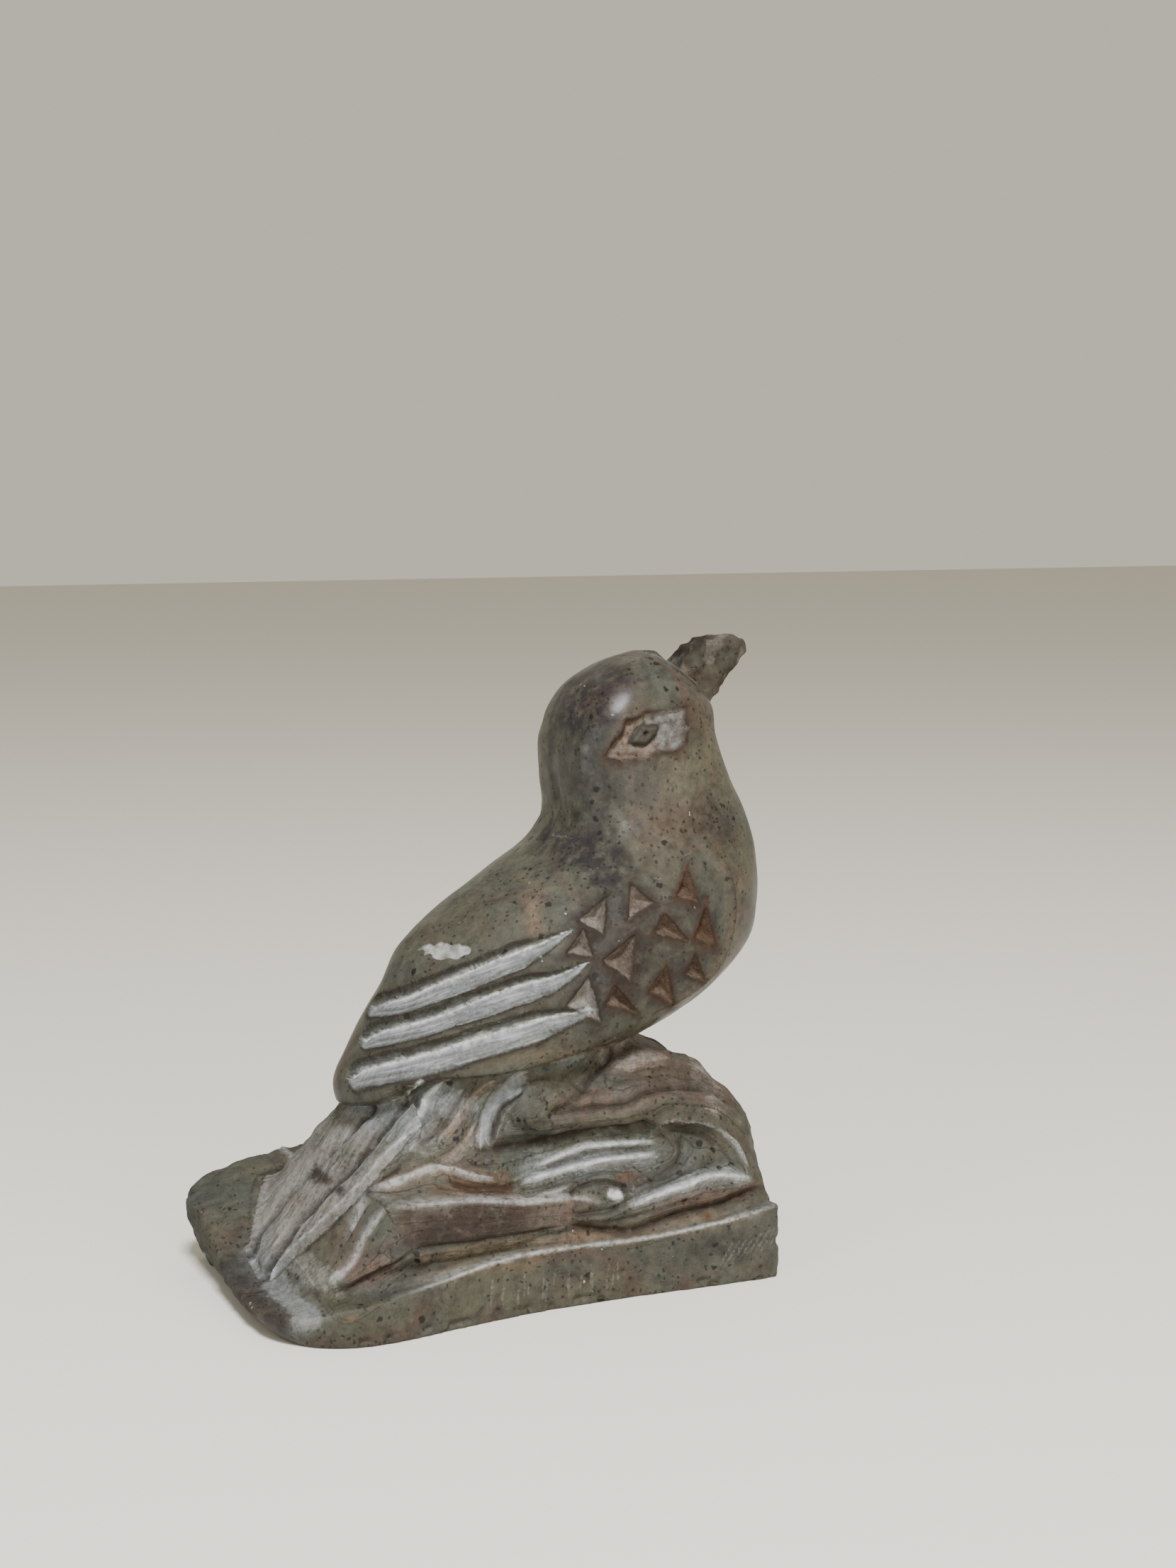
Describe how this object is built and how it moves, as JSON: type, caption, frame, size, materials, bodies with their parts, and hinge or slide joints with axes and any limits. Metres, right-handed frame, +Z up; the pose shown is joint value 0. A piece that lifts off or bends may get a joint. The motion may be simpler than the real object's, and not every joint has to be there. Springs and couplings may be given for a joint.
{
  "type": "stone bird carving",
  "caption": "Small soapstone carving of a perched bird looking up, with a broken beak, fluted wings and a tail laid on its rough rock base.",
  "frame": {"origin": "middle of the carving's footprint box, on the surface it stands on", "axes": "+Z up, +X from the tail towards the breast, -Y the side that the picture shows"},
  "size_m": [0.0686, 0.0386, 0.0771],
  "materials": {
    "soapstone": "olive grey soapstone with purple-brown mottling, hand polished to a satin gloss, left pale and rough where it is gouged"
  },
  "bodies": {
    "root": {"soapstone_bird": "soapstone"}
  },
  "joints": []
}
